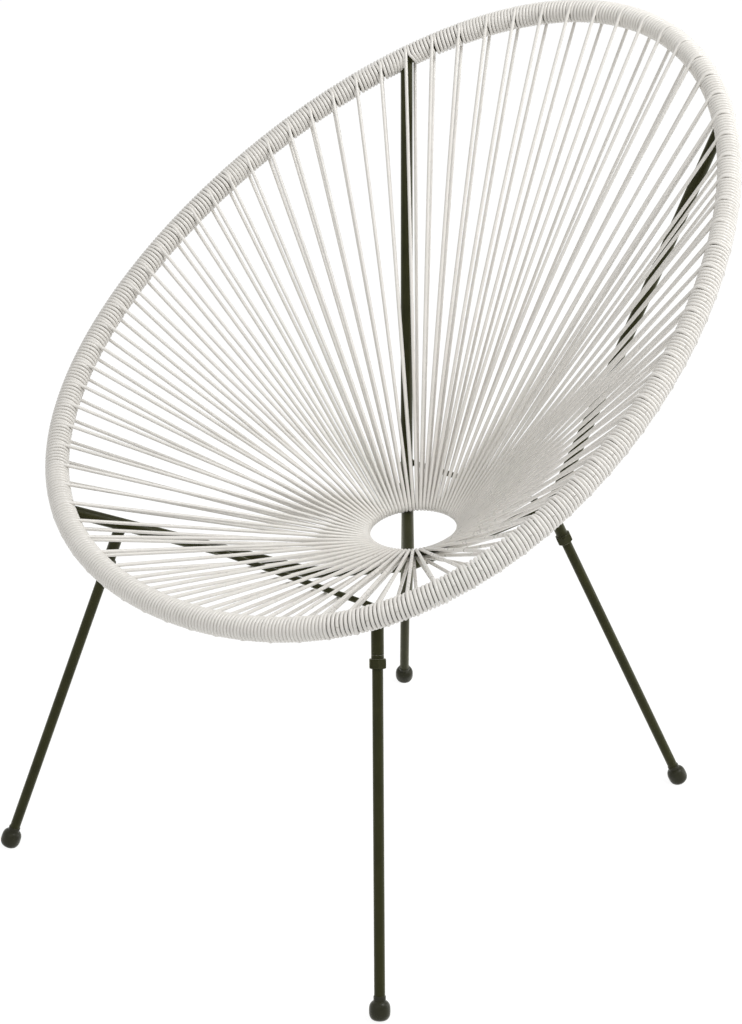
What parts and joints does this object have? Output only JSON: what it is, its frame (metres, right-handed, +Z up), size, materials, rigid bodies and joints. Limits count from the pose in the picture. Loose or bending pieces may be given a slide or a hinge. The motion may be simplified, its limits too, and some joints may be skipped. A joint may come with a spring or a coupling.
{
  "type": "acapulco chair",
  "caption": "Egg-shaped lounge chair of plastic cord strung from a tilted tube rim to a centre hoop, on crossed ribs and straight screw-in legs with ball feet.",
  "frame": {"origin": "on the floor, under the middle of the chair's bounding box", "axes": "+Z up, -Y towards the chair's front, +X to the sitter's left"},
  "size_m": [0.7237, 0.7599, 0.8861],
  "materials": {
    "plastic_cord": "off-white solid plastic cord, smooth and slightly glossy",
    "powder_coated_steel": "dark olive-black powder coat, satin",
    "zinc_plated_steel": "zinc-plated thread, hidden inside",
    "rubber": "black moulded rubber, slightly glossy"
  },
  "bodies": {
    "root": {"rim_tube": "powder_coated_steel", "upper_cross_rib": "powder_coated_steel", "lower_cross_rib": "powder_coated_steel", "front_tie_rod": "powder_coated_steel", "rear_tie_rod": "powder_coated_steel", "centre_hoop": "powder_coated_steel", "front_left_leg_stub": "powder_coated_steel", "front_left_lock_nut": "powder_coated_steel", "front_left_threaded_stud": "zinc_plated_steel", "front_left_leg_tube": "powder_coated_steel", "front_left_foot": "rubber", "front_right_leg_stub": "powder_coated_steel", "front_right_lock_nut": "powder_coated_steel", "front_right_threaded_stud": "zinc_plated_steel", "front_right_leg_tube": "powder_coated_steel", "front_right_foot": "rubber", "rear_left_leg_stub": "powder_coated_steel", "rear_left_lock_nut": "powder_coated_steel", "rear_left_threaded_stud": "zinc_plated_steel", "rear_left_leg_tube": "powder_coated_steel", "rear_left_foot": "rubber", "rear_right_leg_stub": "powder_coated_steel", "rear_right_lock_nut": "powder_coated_steel", "rear_right_threaded_stud": "zinc_plated_steel", "rear_right_leg_tube": "powder_coated_steel", "rear_right_foot": "rubber", "cord_panel_01": "plastic_cord", "cord_panel_02": "plastic_cord", "cord_panel_03": "plastic_cord", "cord_panel_04": "plastic_cord", "cord_panel_05": "plastic_cord", "cord_panel_06": "plastic_cord", "cord_panel_07": "plastic_cord", "cord_panel_08": "plastic_cord", "cord_panel_09": "plastic_cord", "cord_panel_10": "plastic_cord", "cord_panel_11": "plastic_cord", "cord_panel_12": "plastic_cord", "cord_panel_13": "plastic_cord", "cord_panel_14": "plastic_cord", "cord_panel_15": "plastic_cord", "cord_panel_16": "plastic_cord"}
  },
  "joints": []
}
